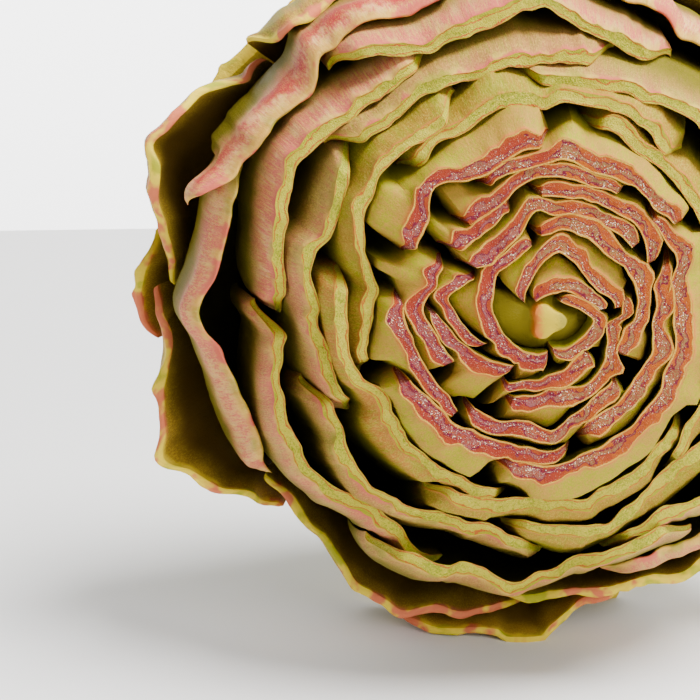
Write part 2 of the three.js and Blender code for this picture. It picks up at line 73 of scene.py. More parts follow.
# Rims from the bud outwards: angle and radius, and a height where it isn't the kind's own. A bract's name
# starts with its kind, unless its own values, if any, say another
budLeaflets = [
    ("fold_inner", [(-80, 4.5), (-40, 6), (0, 7.5), (30, 4.6), (60, 3.2)], {"kind": "leaflet"}),
    ("fold_outer", [(12, 7.6), (45, 5.9), (90, 4.8), (120, 4)], {"kind": "leaflet"}),
]
bracts = [
    ("inner_01", [(10, 8.4), (20, 8.6), (50, 9.5), (80, 11.1), (115, 7), (140, 4.6)], {"kind": "leaflet"}),
    ("inner_02", [(103, 12.2), (125, 11.2), (153, 9.6), (171, 9), (197, 7.7), (233, 6.2), (270, 5.4)],
     {"kind": "leaflet"}),
    ("inner_03", [(150, 13.2), (166, 16.3), (178, 13.8), (199, 10.2)], {"kind": "leaflet"}),
    ("inner_04", [(176, 15.4), (199, 12.3), (232, 8.9)], {"kind": "leaflet"}),
    ("inner_05", [(237, 11.8), (270, 8.6), (320, 7.6)], {"kind": "leaflet"}),
    ("inner_06", [(246, 12.8), (256, 11.9), (270, 11), (299, 12), (311, 11.8), (331, 10.4), (356, 9.6),
     (375, 9.2)], {"kind": "leaflet"}),
    ("inner_07", [(336, 12.3), (360, 12.4), (379, 13.4), (395, 15.1), (410, 14.2), (426, 14.4), (440, 14.4),
     (455, 14.2)]),
    ("inner_08", [(41, 17), (60, 18), (71, 17.8), (86, 16.9), (95, 17.5), (105, 15.4), (128, 13),
     (142, 12.4)]),
    ("inner_09", [(30, 18.2), (41, 19.1), (49, 20.5), (73, 20), (82, 19.3), (93, 19.2)]),
    ("inner_10", [(153, 19), (173, 17.9), (188, 17), (202, 16.1)]),
    ("inner_11", [(230, 17.6), (245, 17.5), (260, 16.6), (272, 18), (285, 15.5), (300, 14.4), (316, 14)]),
    ("inner_12", [(290, 17), (318, 17.3), (330, 17.4), (341, 17.1), (360, 16.2), (384, 16.2)]),
    ("inner_13", [(110, 17.9), (125, 17.4), (140, 18.1)]),
    ("inner_14", [(173, 22.7), (182, 21.6), (194, 20.9), (210, 20), (224, 19.5)]),
    ("inner_15", [(62, 21.6), (79, 21.8), (90, 22.4), (101, 21.8), (115, 20), (128, 19.9)]),
    ("inner_16", [(203, 22.4), (217, 21.7), (246, 20.1), (260, 19.7), (277, 19.6)]),
    ("inner_17", [(256, 22.7), (268, 22.8), (279, 21.6), (303, 21.6), (319, 21), (349, 20.7), (363, 20.3),
     (377, 19.9), (392, 20.7), (403, 21.3)]),
    ("inner_18", [(38, 22.8), (55, 23.5), (68, 23.9), (84, 25), (96, 24.2), (112, 22.2)]),
    ("inner_19", [(93, 26.3), (113, 24.9), (130, 27), (140, 24.5), (150, 23.2)]),

    ("green_01", [(-15, 27.6), (0, 27.2), (20, 27.6), (40, 28.4), (51, 29), (73, 30.1)]),
    ("green_02", [(54, 30.9), (60, 32.2), (68, 33.4), (78, 33.4), (90, 32.6), (99, 34.1), (110, 32),
     (119, 31.9), (128, 29.5)]),
    ("green_03", [(117, 33.5), (130, 34), (138, 33.7), (150, 32), (159, 29.3), (171, 26.4), (180, 26.6),
     (192, 28.6)]),
    ("green_04", [(172, 30.8), (180, 30.3), (190, 30), (205, 27.4), (214, 28.5), (228, 28.5), (240, 28),
     (254, 27.7)], {"blush": 0.5}),
    ("green_05", [(242, 30.4), (268, 29), (282, 29.3), (295, 28.1), (307, 27.7), (318, 26.4)]),
    ("green_06", [(314, 28.4), (332, 28.3), (350, 29.4), (365, 30), (378, 30.4)]),
    ("green_07", [(266, 32.8), (276, 34), (286, 34.7), (295, 33.3), (306, 32.1), (319, 31.8), (335, 32.4),
     (350, 33), (364, 33.5)], {"height": 74}),

    ("middle_01", [(12, 36.6), (25, 37.6), (38, 38), (51, 37.7), (61, 36.9), (73, 36.4), (81, 35.6),
     (90, 34.8)], {"height": 74}),
    ("middle_02", [(144, 34.4), (150, 35), (159, 35.5), (165, 36.9), (171, 36.4), (180, 34.5), (188, 32.4),
     (202, 30.5)], {"height": 72, "blush": 0.45}),
    ("middle_03", [(80, 38.6), (96, 38.2), (107, 38.2), (120, 38.4), (128, 37.6), (135, 36.8)],
     {"height": 71}),
    ("middle_04", [(203, 35.2), (209, 35.4), (215, 36.8), (223, 38), (231, 37.5), (240, 36.3), (251, 34.8),
     (260, 32.5), (265, 31.8)], {"height": 71}),
    ("middle_05", [(292, 36.1), (300, 36.5), (309, 39.2), (322, 40), (338, 40.4), (352, 40)],
     {"height": 72}),
    ("middle_06", [(118, 41), (127, 41.3), (135, 42.7), (144, 43.7), (150, 44), (157, 43), (164, 41.3),
     (175, 39.2)], {"height": 67, "blush": 0.9}),
    ("middle_07", [(-12, 43), (4, 43.6), (20, 43.4), (38, 42)], {"height": 68}),
    ("middle_08", [(67, 40.4), (78, 43.4), (90, 47.1), (101, 44.5), (112, 43.4), (124, 47.4)],
     {"height": 66, "blush": 0.7}),
    ("middle_09", [(186, 38.8), (190, 40.6), (198, 42.4), (206, 43.7), (213, 43.6), (221, 42.7),
     (228, 40.6), (236, 40), (245, 43.5, 62)], {"height": 66, "blush": 0.5}),
    ("middle_10", [(241, 41, 69), (247, 41.6), (255, 42.9, 67), (264, 43.9, 66), (272, 42.3, 67),
     (278, 40.4, 69), (285, 39, 72), (298, 39.4, 73)], {"height": 68}),
    ("middle_11", [(160, 49.8), (168, 49.6), (175, 50.2), (182, 52.3), (188, 50.4), (195, 49.3),
     (208, 49.5)], {"height": 59, "blush": 0.8, "natural": True}),
    ("middle_12", [(107, 50), (114, 49.4), (124, 49.2), (130, 50.4), (136, 48.9), (145, 49.6), (156, 51.6),
     (161, 54.1)],
     {"height": 60, "skirt": 3, "drop": 5, "blush": 2, "natural": True, "waist": 8, "curl": 1.6}),
    ("middle_13", [(-30, 46), (-12, 47.5), (5, 48.5), (22, 47.5), (36, 46)],
     {"height": 61, "blush": 0.5, "natural": True}),
    ("middle_14", [(22, 47.5), (35, 49.4), (45, 49), (55, 48.2), (61, 48), (66, 49.8), (74, 49.4),
     (82, 50.5)], {"height": 58, "blush": 1, "natural": True}),
    ("middle_15", [(292, 45), (303, 46.5), (315, 48), (330, 48.5), (345, 47.5)],
     {"height": 60, "blush": 0.6, "natural": True}),

    ("outer_01", [(270, 51.6), (279, 51.4), (288, 51.7), (294, 51.9), (299, 53.4), (304, 53), (316, 51)],
     {"height": 51, "tip": 299, "blush": 0.6}),
    ("outer_03", [(223, 51.7), (231, 52.3), (237, 54.3), (242, 55.6), (246, 56.3), (250, 57.8), (254, 56.2),
     (260, 55), (266, 53)], {"tip": 250, "drop": 8, "blush": 0.6}),
    ("outer_04", [(254, 56), (260, 57.7), (266, 57.9), (269, 60.2), (272, 60.2), (275, 57.4), (283, 54)],
     {"tip": 270, "drop": 8}),
    ("outer_05", [(142, 54.5), (145, 58), (149, 60.7), (154, 62.1), (158, 64.6), (161, 62.4), (165, 61.4),
     (170, 58.6), (176, 55.2)], {"tip": 158, "skirt": 4}),
    ("outer_02", [(112, 52.5), (120, 53.8), (124, 54.7), (128, 56.2), (131, 57.2), (135, 55)],
     {"height": 51, "tip": 131, "skirt": 3}),
    ("outer_06", [(186, 55.7), (190, 58.4), (196, 61.5), (201, 62.1), (205, 63.8), (209, 61.2), (213, 59.9),
     (218, 55)], {"tip": 205}),
    ("outer_07", [(175, 54.5), (178, 56.6), (181, 57.6), (185, 55.3)],
     {"height": 36, "tip": 181, "drop": 4, "skirt": 4}),
    ("outer_08", [(302, 54), (313, 57), (324, 60), (334, 57), (342, 54)], {"tip": 324}),
    ("outer_09", [(-20, 55), (-9, 59), (2, 62), (12, 59), (20, 55)], {"tip": 2}),
    ("outer_10", [(22, 55), (33, 58), (42, 61), (52, 58), (60, 55)], {"tip": 42}),
    ("outer_11", [(62, 54), (74, 57), (84, 60), (93, 57), (102, 54)], {"tip": 84}),

    ("basal_01", [(273, 60), (278, 62.5), (290, 55.5)], {"tip": 278, "height": 29, "skirt": 4}),
    ("basal_02", [(336, 54), (358, 56), (380, 54)], {"tip": 358}),
    ("basal_03", [(50, 54), (72, 56), (94, 54)], {"tip": 72}),
    ("basal_04", [(124, 54), (146, 56), (168, 54)], {"tip": 146}),
    ("basal_05", [(244, 56), (259, 62.8), (266, 60)], {"tip": 259, "height": 29, "skirt": 4}),
]


def smoothStep(x):
    x = np.clip(x, 0, 1)
    return x * x * (3 - 2 * x)


def smoothCurve(xs, ys):  # a smooth curve through points that never overshoots them
    xs, ys = np.asarray(xs, float), np.asarray(ys, float)
    steps = np.diff(ys) / np.diff(xs)
    slopes = np.zeros(len(xs))
    same = steps[:-1] * steps[1:] > 0
    slopes[1:-1][same] = (2 * steps[:-1] * steps[1:])[same] / (steps[:-1] + steps[1:])[same]

    def at(x):
        x = np.clip(np.asarray(x, float), xs[0], xs[-1])
        i = np.clip(np.searchsorted(xs, x, side="right") - 1, 0, len(xs) - 2)
        width = xs[i + 1] - xs[i]
        t = (x - xs[i]) / width
        rise = t * t * (3 - 2 * t)
        bend = width * t * (1 - t) * (slopes[i] * (1 - t) - slopes[i + 1] * t)
        return ys[i] * (1 - rise) + ys[i + 1] * rise + bend
    return at


noiseSize = (97, 89)  # units after which the noise repeats


def softNoise(x, y, seed):  # gentle hills between -1 and 1, one unit across
    lattice = np.random.default_rng(seed).uniform(-1, 1, noiseSize)
    x, y = np.broadcast_arrays(np.asarray(x, float), np.asarray(y, float))
    column, row = np.floor(x).astype(int), np.floor(y).astype(int)
    tx, ty = smoothStep(x - column), smoothStep(y - row)
    nextColumn, nextRow = (column + 1) % noiseSize[0], (row + 1) % noiseSize[1]
    column, row = column % noiseSize[0], row % noiseSize[1]
    low = lattice[column, row] * (1 - tx) + lattice[nextColumn, row] * tx
    high = lattice[column, nextRow] * (1 - tx) + lattice[nextColumn, nextRow] * tx
    return low * (1 - ty) + high * ty


profileHeights = [point[0] for point in headProfile]
profileRadii = [point[1] for point in headProfile]
headRadius = smoothCurve(profileHeights, profileRadii)


def rimRadius(height):  # the part's own straight-edged profile, for reading rims
    return np.interp(height, profileHeights, profileRadii)


def flareShare(height):
    share = np.clip((height - head["flareStart"]) / head["flareReach"], 0, head["flareMost"])
    return share ** head["flareCurve"]


def heartHeight(layer):
    return head["heartTop"] - head["heartFall"] * layer * layer


tilt = math.radians(head["tilt"])


def lying(angle, radius, height, least):  # a point of the head, in metres, where it lies
    side, up = radius * np.cos(np.radians(angle)), radius * np.sin(np.radians(angle))
    x = head["axisAside"] + side
    y = head["axisBack"] + up * math.sin(tilt) - height * math.cos(tilt)
    z = head["axisRest"] + up * math.cos(tilt) + height * math.sin(tilt)
    low = np.maximum(least, head["pressTop"] - (head["pressTop"] - z) * head["pressShare"])
    return np.stack([x, y, np.where(z < head["pressTop"], low, z)], axis=-1) * mm


# What already lies at each degree round the head
laidLayer = np.full(fullTurn, float(head["budLayer"]))
laidFlare = np.zeros(fullTurn)


def around(values, angle):
    return np.interp(np.mod(angle, fullTurn), np.arange(fullTurn + 1), np.append(values, values[0]))


def shifted(values, reach):  # the values moved by each number of places up to the reach, either way
    return [np.roll(values, step) for step in range(-reach, reach + 1)]


def eased(values):  # raised beside each step, so that a blade bends over it smoothly
    high = np.max(shifted(values, head["hugReach"]), axis=0)
    return np.mean(shifted(high, head["hugReach"]), axis=0)


def columnAngles(rim, skirt):
    angles = [rim[0][0] - skirt]
    for point in rim:
        start = angles[-1]
        steps = math.ceil((point[0] - start) / head["widestStep"])
        angles += [start + (point[0] - start) * (i + 1) / steps for i in range(steps)]
    return np.array(angles + [rim[-1][0] + skirt], float)


def columnsOf(kindName, rim, own):  # the blade's columns as in the part
    kind = {**kinds[kindName], **own}
    angle = columnAngles(rim, kind["skirt"])
    start, end = angle[0], angle[-1]
    rimAngles = [point[0] for point in rim]
    radius = np.interp(angle, rimAngles, [point[1] for point in rim])
    height = np.interp(angle, rimAngles, [point[2] if len(point) > 2 else kind["height"] for point in rim])
    inside = np.clip(np.minimum(angle - start, end - angle) / head["bladeTaper"], 0, 1)
    thick = kind["edge"] + (kind["thick"] - kind["edge"]) * inside
    least = around(eased(laidLayer), angle) + kind["gap"]
    flareBelow = around(eased(laidFlare), angle)
    margin = (angle == start) | (angle == end)
    if kind.get("splayed"):
        away = (angle - kind["tip"]) / np.where(angle < kind["tip"], start - kind["tip"], end - kind["tip"])
        height = height - kind["drop"] * away ** head["tipFall"]
    wanted = radius / rimRadius(height) - thick / 2
    if kind.get("splayed"):
        layer = least
        flare = np.maximum(np.where(margin, 0, (wanted - least) / flareShare(height)), flareBelow)
    else:
        layer = np.maximum(least, np.where(margin, wanted - head["marginTuck"], wanted))
        flare, height = flareBelow, height - np.where(margin, kind["drop"], 0)
    layer, flare = layer.copy(), flare.copy()
    for i in range(len(angle) - 1):  # no stretch may cut through what lies below it
        for degree in range(math.ceil(angle[i]), math.ceil(angle[i + 1])):
            t = (degree - angle[i]) / (angle[i + 1] - angle[i])
            lackLayer = around(laidLayer, degree) + kind["gap"] - layer[i] * (1 - t) - layer[i + 1] * t
            lackFlare = around(laidFlare, degree) - flare[i] * (1 - t) - flare[i + 1] * t
            layer[i:i + 2] += max(0, lackLayer)
            flare[i:i + 2] += max(0, lackFlare)
    return {"angle": angle, "layer": layer, "flare": flare, "thick": thick, "height": height}


def layDown(columns):
    angle = columns["angle"]
    for degree in range(math.floor(angle[0]), math.ceil(angle[-1]) + 1):
        place = degree % fullTurn
        outside = np.interp(degree, angle, columns["layer"] + columns["thick"])
        laidLayer[place] = max(laidLayer[place], outside)
        laidFlare[place] = max(laidFlare[place], np.interp(degree, angle, columns["flare"]))


layout = []
for name, rim, *own in budLeaflets + bracts:
    own = dict(*own)
    kindName = own.get("kind", name.split("_")[0])
    columns = columnsOf(kindName, rim, own)
    layDown(columns)
    layout.append({"name": name, "kind": kindName, "own": own, "columns": columns})


def lowestLayer(degrees, entries, most, margin):  # of the blades over each degree, and most where none is
    for entry in entries:
        angle, layer = entry["columns"]["angle"], entry["columns"]["layer"]
        for turn in (-fullTurn, 0, fullTurn):
            over = (degrees + turn >= angle[0] - margin) & (degrees + turn <= angle[-1] + margin)
            most = np.where(over, np.minimum(most, np.interp(degrees + turn, angle, layer)), most)
    return most


def roomOutside(index):  # layer free from a blade's inner face to the next blade's, degree by degree
    blade = layout[index]["columns"]
    degrees = np.arange(math.floor(blade["angle"][0]), math.ceil(blade["angle"][-1]) + 1)
    own = np.interp(degrees, blade["angle"], blade["layer"])
    room = lowestLayer(degrees, layout[index + 1:], own + 1, 1) - own
    reach = fine["roomReach"]
    padded = np.pad(room, reach, mode="edge")
    near = [moved[reach:-reach] for moved in shifted(padded, reach)]
    return degrees, (np.mean(near, axis=0) + np.min(near, axis=0)) / 2


print("laid out", len(layout), "blades")

# Fine shape of the blades, in millimetres unless it says otherwise
fine = {
    "acrossStep": 0.55, "fewestAcross": 44, "mostAcross": 118,  # width of a column, and their number
    "sideCrowding": 0.3, "rowCrowding": 1.7,  # how much closer columns and rows lie near the margins
    "rows": 34, "crossing": [0.05, 0.16, 0.3, 0.44, 0.58, 0.72, 0.85, 0.95],  # shares across the cut
    "spare": 0.005, "roomReach": 3,  # layer kept free of the next blade, and degrees it is evened over
    "evenShare": 0.95, "swellDepth": 3, "swellTaper": 4,  # the taper in degrees
    "roundEdge": 1.1, "thinEdge": 0.1, "rimTaper": 3.5, "rimCrown": 0.25,
    "footTaper": 9, "footSink": 1.2, "thinFoot": 0.03,
    "endReach": 14, "waistReach": 9, "curlReach": 5, "waveReach": 9,  # the first in degrees
    "rimWave": 0.4, "fleshSink": 0.12, "fleshCurve": 0.6,
    "grit": 0.14, "gritSize": 0.6, "gritRows": 5, "gritStart": 0.3,
    "grainShift": 7.3,  # sets the grain of one blade apart from the next blade's
    "ripeSide": 190,  # the side where the cut ends are crimson instead of orange
    "firstSeed": 100, "gritSeed": 400, "defaultBlush": 0.25, "sharpFrom": 50,
}

# Waves along a rim: their height, their length and the row of the noise they are read from
rimParts = [(0.7, 3, 0.5), (0.3, 0.9, 3.5)]
naturalParts = [(0.8, 5, 7.5)]
unevenParts = [(0.4, 3.5, 1.5), (0.2, 1.2, 2.5)]

# Relief of the faces: height, length along the rim, length up the blade, first row and seed step
faceRelief = [(0.3, 5, 7, 0, 1), (0.06, 1.1, 24, 0, 2)]
waveRelief = [(0.4, 2.6, 40, 0.5, 3)]
naturalRelief = [(0.9, 5.5, math.inf, 0.5, 4)]
kinkRelief = [(0.45, 4.2, 30, 0.5, 5), (0.18, 1.3, math.inf, 4.5, 6)]


def waves(along, parts, seed):
    return sum(high * softNoise(along / long, row, seed) for high, long, row in parts)


def relief(along, height, parts, seed):
    return sum(high * softNoise(along / long, row + height / tall, seed + step)
               for high, long, tall, row, step in parts)


def placed(name, data):  # a new object in the scene
    made = bpy.data.objects.new(name, data)
    bpy.context.scene.collection.objects.link(made)
    return made


def makeMesh(name, points, faces, attributes):
    mesh = bpy.data.meshes.new(name)
    mesh.from_pydata(points.reshape(-1, 3).tolist(), [], faces)
    for key, values in attributes.items():
        kind, field = ("FLOAT_VECTOR", "vector") if values.ndim == points.ndim else ("FLOAT", "value")
        layer = mesh.attributes.new(key, kind, "POINT")
        layer.data.foreach_set(field, values.astype(np.float32).ravel())
    mesh.polygons.foreach_set("use_smooth", [True] * len(mesh.polygons))
    mesh.set_sharp_from_angle(angle=math.radians(fine["sharpFrom"]))
    return placed(name, mesh)


def ringFaces(count, loop):  # quads of a closed tube of columns, with its two ends closed
    faces = []
    for i in range(count - 1):
        a, b = i * loop, (i + 1) * loop
        faces += [(a + j, a + (j + 1) % loop, b + (j + 1) % loop, b + j) for j in range(loop)]
    last = (count - 1) * loop
    for j in range(loop // 2 - 1):
        k, m = loop - 1 - j, loop - 2 - j
        faces.append((j, k, m, j + 1))
        faces.append((last + j, last + j + 1, last + m, last + k))
    return faces


def turnedFaces(sides, rows):  # quads of a closed body of revolution
    faces = []
    for i in range(sides):
        a, b = i * rows, ((i + 1) % sides) * rows
        faces += [(a + j, b + j, b + j + 1, a + j + 1) for j in range(rows - 1)]
    faces.append(tuple(i * rows for i in reversed(range(sides))))
    faces.append(tuple(i * rows + rows - 1 for i in range(sides)))
    return faces


def turnedPiece(name, angle, radius, height, grainRadius, attributes):
    arc = np.radians(angle) * grainRadius + radius * 0
    attributes = {"grain": np.stack([arc, height, radius], axis=-1), **attributes}
    return makeMesh(name, lying(angle, radius, height, 0), turnedFaces(*radius.shape), attributes)


def thicknesses(index, kind, columns, across, arc, seed):  # in layers: at the rim, and further down
    start, end = columns["angle"][0], columns["angle"][-1]
    fromSide = np.minimum(across - start, end - across)
    degrees, room = roomOutside(index)
    free = np.interp(across, degrees, room) - fine["spare"]
    uneven = fine["evenShare"] + waves(arc, unevenParts, seed)
    fat = np.clip(free, kind["edge"], kind["fat"] * uneven)
    thick = kind["edge"] + np.maximum(0, fat - kind["edge"]) * smoothStep(fromSide / head["bladeTaper"])
    fleshy = np.maximum(0, np.minimum(free, kind["fleshy"]) - kind["edge"])
    swollen = np.maximum(thick, kind["edge"] + fleshy * smoothStep(fromSide / fine["swellTaper"]))
    return fromSide, thick, swollen


def bladePiece(index):
    entry = layout[index]
    columns = entry["columns"]
    kind = {**kinds[entry["kind"]], **entry["own"]}
    splayed = bool(kind.get("splayed"))
    natural = splayed or bool(kind.get("natural"))
    seed = fine["firstSeed"] + index
    sink = head["budSink"] if index < len(budLeaflets) else 0
    start, end = columns["angle"][0], columns["angle"][-1]
    middle = (start + end) / 2
    layerAt = smoothCurve(columns["angle"], columns["layer"])
    flareAt = smoothCurve(columns["angle"], columns["flare"])
    rimAt = smoothCurve(columns["angle"], columns["height"])
    radius = float(np.mean(columns["layer"]) * headRadius(np.max(columns["height"])))
    wide = math.radians(end - start) * radius
    count = int(np.clip(wide / fine["acrossStep"], fine["fewestAcross"], fine["mostAcross"]))
    spread = np.linspace(-1, 1, count)
    crowd = fine["sideCrowding"]
    across = middle + (end - start) / 2 * (spread * (1 - crowd) + crowd * np.sin(spread * math.pi / 2))

    # Rim height, and thickness within the room that the next blades leave
    arc = np.radians(across) * radius
    rim = rimAt(across) + fine["rimWave"] * waves(arc, rimParts, seed)
    if natural:
        rim = rim + waves(arc, naturalParts, seed)
    fromSide, thick, swollen = thicknesses(index, kind, columns, across, arc, seed)

    # Heights and depths round one column's loop: up the inner face, across the cut, down the outer face
    rows, crossing = fine["rows"], np.array(fine["crossing"])
    climb = 1 - (1 - np.linspace(0, 1, rows)) ** fine["rowCrowding"]
    face, cut = np.zeros(rows), np.ones(len(crossing))
    rise = np.concatenate([climb, cut, climb[::-1]])[None, :]
    depth = np.concatenate([face, crossing, face + 1])[None, :]
    onCut = np.concatenate([face, cut, face])[None, :]
    rootAngle = middle + (across - middle) * head["rootWidth"]
    root = heartHeight(layerAt(rootAngle) - sink) + head["rootClearance"]
    if splayed:
        root = root - fine["footSink"]
    across, rim, root = across[:, None], rim[:, None], root[:, None]
    height = root + rise * (rim - root)
    lift = np.clip((height - root) / head["rootRise"], 0, 1)
    angle = middle + (across - middle) * (1 - (1 - head["rootWidth"]) * (1 - lift) ** 2)
    ending = smoothStep((across - end + fine["endReach"]) / fine["endReach"])  # 1 at the far margin
    angle = angle - kind.get("waist", 0) * ending * smoothStep((rim - height) / fine["waistReach"])

    # Thin rounded side margins and feet, and thin rounded rims where a bract isn't cut
    toRim = np.maximum(0, rim - height)
    toSide = np.radians(fromSide)[:, None] * headRadius(height) * layerAt(angle)
    rounding = 1 - (1 - np.clip(toSide / fine["roundEdge"], 0, 1)) ** 2
    swelling = (swollen - thick)[:, None] * smoothStep(toRim / fine["swellDepth"])
    full = (thick[:, None] + swelling) * headRadius(height)
    full = np.maximum(fine["thinEdge"], full * np.sqrt(rounding))
    if splayed:
        full = full * np.sqrt(np.clip((height - root) / fine["footTaper"], fine["thinFoot"], 1))
    bulge = np.clip(1 - (2 * depth - 1) ** 2, 0, 1)  # 0 at both faces and 1 between them
    if natural:
        share = kind["rimShare"] + (1 - kind["rimShare"]) * toRim / fine["rimTaper"]
        full = full * np.sqrt(np.clip(share, 0, 1))
        height = height + onCut * fine["rimCrown"] * bulge
    else:
        rowsAcross = depth * fine["gritRows"] + fine["gritStart"]
        grit = softNoise(arc[:, None] / fine["gritSize"], rowsAcross, seed + fine["gritSeed"])
        sunk = fine["fleshSink"] + fine["grit"] * grit
        height = height - onCut * bulge ** fine["fleshCurve"] * sunk
    layer = layerAt(angle) + flareAt(angle) * flareShare(height) - sink * (1 - rise)
    radial = layer * headRadius(height) + depth * full

    # Hills and ribs on the faces, and a wavy or kinked rim
    along = np.radians(angle) * radius
    nearRim = smoothStep(1 - toRim / fine["waveReach"])
    rimRelief = waveRelief + (naturalRelief if natural else kinkRelief)
    radial = radial + relief(along, height, faceRelief, seed)
    radial = radial + nearRim * relief(along, height, rimRelief, seed)
    radial = radial + kind.get("curl", 0) * smoothStep(1 - toRim / fine["curlReach"]) * ending ** 3

    ones = np.ones_like(height)
    attributes = {
        "grain": np.stack([along, height, index * fine["grainShift"] + depth * full], axis=-1),
        "toRim": toRim,
        "depth": depth * ones,
        "cut": onCut * ones * (not natural),
        "blush": ones * kind.get("blush", fine["defaultBlush"]),
        "ripe": 0.5 + 0.5 * np.cos(np.radians(angle - fine["ripeSide"])),
    }
    points = lying(angle, radial, height, np.where(depth > 0.5, 0, head["pressThick"]))
    return makeMesh(entry["name"], points, ringFaces(count, rise.shape[1]), attributes)


class Wire:  # a socket that sums can be done on
    def __init__(self, recipe, socket):
        self.recipe, self.socket = recipe, socket

    def maths(self, operation, *values):
        return self.recipe.node("ShaderNodeMath", {"operation": operation}, dict(enumerate(values)))

    def __add__(self, other): return self.maths("ADD", self, other)
    def __radd__(self, other): return self.maths("ADD", other, self)
    def __sub__(self, other): return self.maths("SUBTRACT", self, other)
    def __rsub__(self, other): return self.maths("SUBTRACT", other, self)
    def __mul__(self, other): return self.maths("MULTIPLY", self, other)
    def __rmul__(self, other): return self.maths("MULTIPLY", other, self)
    def __abs__(self): return self.maths("ABSOLUTE", self)
    def least(self, other): return self.maths("MINIMUM", self, other)


class Recipe:  # one material and the nodes in it
    def __init__(self, name):
        self.material = bpy.data.materials.new(name)
        self.material.use_nodes = True
        self.tree = self.material.node_tree
        self.tree.nodes.clear()

    def node(self, kind, settings=None, inputs=None, output=0):
        made = self.tree.nodes.new(kind)
        for key, value in (settings or {}).items():
            setattr(made, key, value)
        for key, value in (inputs or {}).items():
            if isinstance(value, Wire):
                self.tree.links.new(value.socket, made.inputs[key])
            else:
                made.inputs[key].default_value = value
        return Wire(self, made.outputs[output]) if len(made.outputs) else made

    def attribute(self, name, output="Fac"):
        return self.node("ShaderNodeAttribute", {"attribute_name": name}, output=output)

    def step(self, value, low, high):  # 0 below low, 1 above high
        settings = {"interpolation_type": "SMOOTHSTEP"}
        inputs = {"Value": value, "From Min": low, "From Max": high}
        return self.node("ShaderNodeMapRange", settings, inputs)

    def mix(self, share, first, second):
        settings = {"data_type": "RGBA", "clamp_factor": True}
        return self.node("ShaderNodeMix", settings, {0: share, 6: first, 7: second}, output=2)

    def noise(self, vector, stretch, detail=3, rough=0.55):  # between 0 and 1
        place = self.node("ShaderNodeVectorMath", {"operation": "MULTIPLY"}, {0: vector, 1: stretch})
        inputs = {"Vector": place, "Scale": 1, "Detail": detail, "Roughness": rough}
        return self.node("ShaderNodeTexNoise", inputs=inputs)

    def finish(self, colour, rough, relief, strength, sockets):
        bump = {"Strength": strength, "Distance": bumpDepth, "Height": relief}
        normal = self.node("ShaderNodeBump", inputs=bump)
        inputs = {"Base Color": colour, "Roughness": rough, "Normal": normal, **sockets}
        shader = self.node("ShaderNodeBsdfPrincipled", inputs=inputs)
        self.node("ShaderNodeOutputMaterial", inputs={"Surface": shader})
        return self.material


def solidTints(look):  # its colours with full opacity
    return {key: value + (1,) for key, value in look.items() if isinstance(value, tuple)}


bumpDepth = 0.0004  # metres
dullSkin = {"Specular IOR Level": 0.14}

# Each colour is the share of red, green and blue light that it gives back. The darkest face tint is dark
# mottling and specks, and also painted shade deep below the rim, between the two depths given and lessened
# on the outer face by the back share
discLook = {
    "face": (0.26, 0.28, 0.001), "back": (0.25, 0.27, 0.001), "faceShadeAndMarks": (0.17, 0.165, 0.001),
    "bloom": (0.42, 0.33, 0.02), "blush": (0.42, 0.12, 0.05),
    "rimLine": (0.5, 0.14, 0.03), "rimTip": (0.55, 0.2, 0.05),
    "skin": (0.62, 0.38, 0.04), "stripe": (0.34, 0.075, 0.002), "ember": (0.23, 0.02, 0.008),
    "line": (0.12, 0.004, 0.02), "core": (0.24, 0.024, 0.012),
    "flesh": (0.2, 0.06, 0.065), "pale": (0.22, 0.12, 0.04), "speck": (0.9, 0.72, 0.5),
    "backShadeCut": 0, "tipped": 0, "shadeFrom": 0, "shadeTo": 14,
    "wobble": 2, "specks": 0.95, "coreAt": 0.42, "lineAt": 0.17, "skinAt": 0.4,
}
greenLook = {
    "face": (0.14, 0.135, 0.001), "back": (0.18, 0.19, 0.001), "faceShadeAndMarks": (0.11, 0.1, 0.001),
    "bloom": (0.42, 0.27, 0.02), "blush": (0.44, 0.1, 0.03),
    "rimLine": (0.45, 0.14, 0.025), "rimTip": (0.5, 0.4, 0.06),
    "skin": (0.55, 0.4, 0.03), "stripe": (0.4, 0.34, 0.012), "line": (0.4, 0.1, 0.01),
    "core": (0.22, 0.25, 0.006), "flesh": (0.46, 0.38, 0.03), "speck": (0.7, 0.6, 0.2),
    "backShadeCut": 0.3, "tipped": 0, "shadeFrom": 2, "shadeTo": 18,
    "wobble": 1.2, "specks": 0.35, "coreAt": 0.5, "lineAt": 0.36, "skinAt": 0.46,
}
middleLook = {
    "face": (0.14, 0.12, 0.001), "back": (0.19, 0.17, 0.001), "faceShadeAndMarks": (0.085, 0.07, 0.002),
    "bloom": (0.8, 0.4, 0.2), "blush": (0.54, 0.09, 0.08),
    "rimLine": (0.45, 0.12, 0.025), "rimTip": (0.6, 0.42, 0.06),
    "skin": (0.55, 0.4, 0.03), "stripe": (0.38, 0.34, 0.01), "line": (0.4, 0.08, 0.012),
    "core": (0.2, 0.24, 0.005), "flesh": (0.44, 0.38, 0.025), "speck": (0.68, 0.6, 0.2),
    "backShadeCut": 0.5, "tipped": 0.6, "shadeFrom": 1.5, "shadeTo": 12,
    "wobble": 1.2, "specks": 0.3, "coreAt": 0.5, "lineAt": 0.36, "skinAt": 0.46,
}
